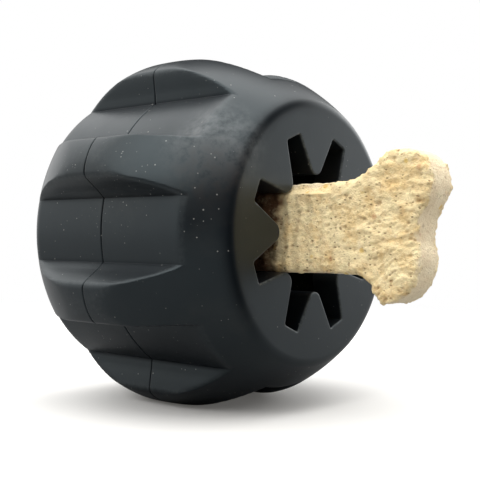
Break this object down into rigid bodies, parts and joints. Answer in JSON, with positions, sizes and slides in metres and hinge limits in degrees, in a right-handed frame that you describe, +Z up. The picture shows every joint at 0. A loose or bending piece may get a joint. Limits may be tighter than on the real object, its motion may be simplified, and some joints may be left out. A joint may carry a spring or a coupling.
{
  "type": "treat-dispensing chew toy",
  "caption": "Hollow lugged rubber chew ball with a star-shaped mouth of flexing teeth that hold a bone-shaped biscuit.",
  "frame": {"origin": "centre of the flat rear face", "axes": "+X along the barrel's axis, out of the mouth; +Z up, with the ball lying on two of its lugs; +Y away from the side that the biscuit leans to"},
  "size_m": [0.1011, 0.0832, 0.0832],
  "materials": {
    "black_rubber": "satin moulded natural rubber, near black",
    "biscuit": "matt baked biscuit with a rough, pitted face"
  },
  "bodies": {
    "shell": {"rubber_body": "black_rubber"},
    "tooth_1": {"mouth_tooth_1": "black_rubber"},
    "tooth_2": {"mouth_tooth_2": "black_rubber"},
    "tooth_3": {"mouth_tooth_3": "black_rubber"},
    "tooth_4": {"mouth_tooth_4": "black_rubber"},
    "tooth_5": {"mouth_tooth_5": "black_rubber"},
    "tooth_6": {"mouth_tooth_6": "black_rubber"},
    "tooth_7": {"mouth_tooth_7": "black_rubber"},
    "tooth_8": {"mouth_tooth_8": "black_rubber"},
    "biscuit": {"bone_biscuit": "biscuit"}
  },
  "joints": [
    {"name": "tooth_1_flex", "type": "hinge", "parent": "shell", "child": "tooth_1", "pos_m": [0.06265, -0.0225, 0], "axis": [0, 0, -1], "range_deg": [-35, 35], "stiffness_Nm_per_rad": 0.01},
    {"name": "tooth_2_flex", "type": "hinge", "parent": "shell", "child": "tooth_2", "pos_m": [0.06265, -0.01591, 0.01591], "axis": [0, -0.7071, -0.7071], "range_deg": [-35, 35], "stiffness_Nm_per_rad": 0.01},
    {"name": "tooth_3_flex", "type": "hinge", "parent": "shell", "child": "tooth_3", "pos_m": [0.06265, 0, 0.0225], "axis": [0, -1, 0], "range_deg": [-35, 35], "stiffness_Nm_per_rad": 0.01},
    {"name": "tooth_4_flex", "type": "hinge", "parent": "shell", "child": "tooth_4", "pos_m": [0.06265, 0.01591, 0.01591], "axis": [0, -0.7071, 0.7071], "range_deg": [-35, 35], "stiffness_Nm_per_rad": 0.01},
    {"name": "tooth_5_flex", "type": "hinge", "parent": "shell", "child": "tooth_5", "pos_m": [0.06265, 0.0225, 0], "axis": [0, 0, 1], "range_deg": [-35, 35], "stiffness_Nm_per_rad": 0.01},
    {"name": "tooth_6_flex", "type": "hinge", "parent": "shell", "child": "tooth_6", "pos_m": [0.06265, 0.01591, -0.01591], "axis": [0, 0.7071, 0.7071], "range_deg": [-35, 35], "stiffness_Nm_per_rad": 0.01},
    {"name": "tooth_7_flex", "type": "hinge", "parent": "shell", "child": "tooth_7", "pos_m": [0.06265, 0, -0.0225], "axis": [0, 1, 0], "range_deg": [-35, 35], "stiffness_Nm_per_rad": 0.01},
    {"name": "tooth_8_flex", "type": "hinge", "parent": "shell", "child": "tooth_8", "pos_m": [0.06265, -0.01591, -0.01591], "axis": [0, 0.7071, -0.7071], "range_deg": [-35, 35], "stiffness_Nm_per_rad": 0.01},
    {"name": "biscuit_slide", "type": "slide", "parent": "shell", "child": "biscuit", "axis": [1, 0, 0], "range_m": [-0.01, 0.007]}
  ]
}
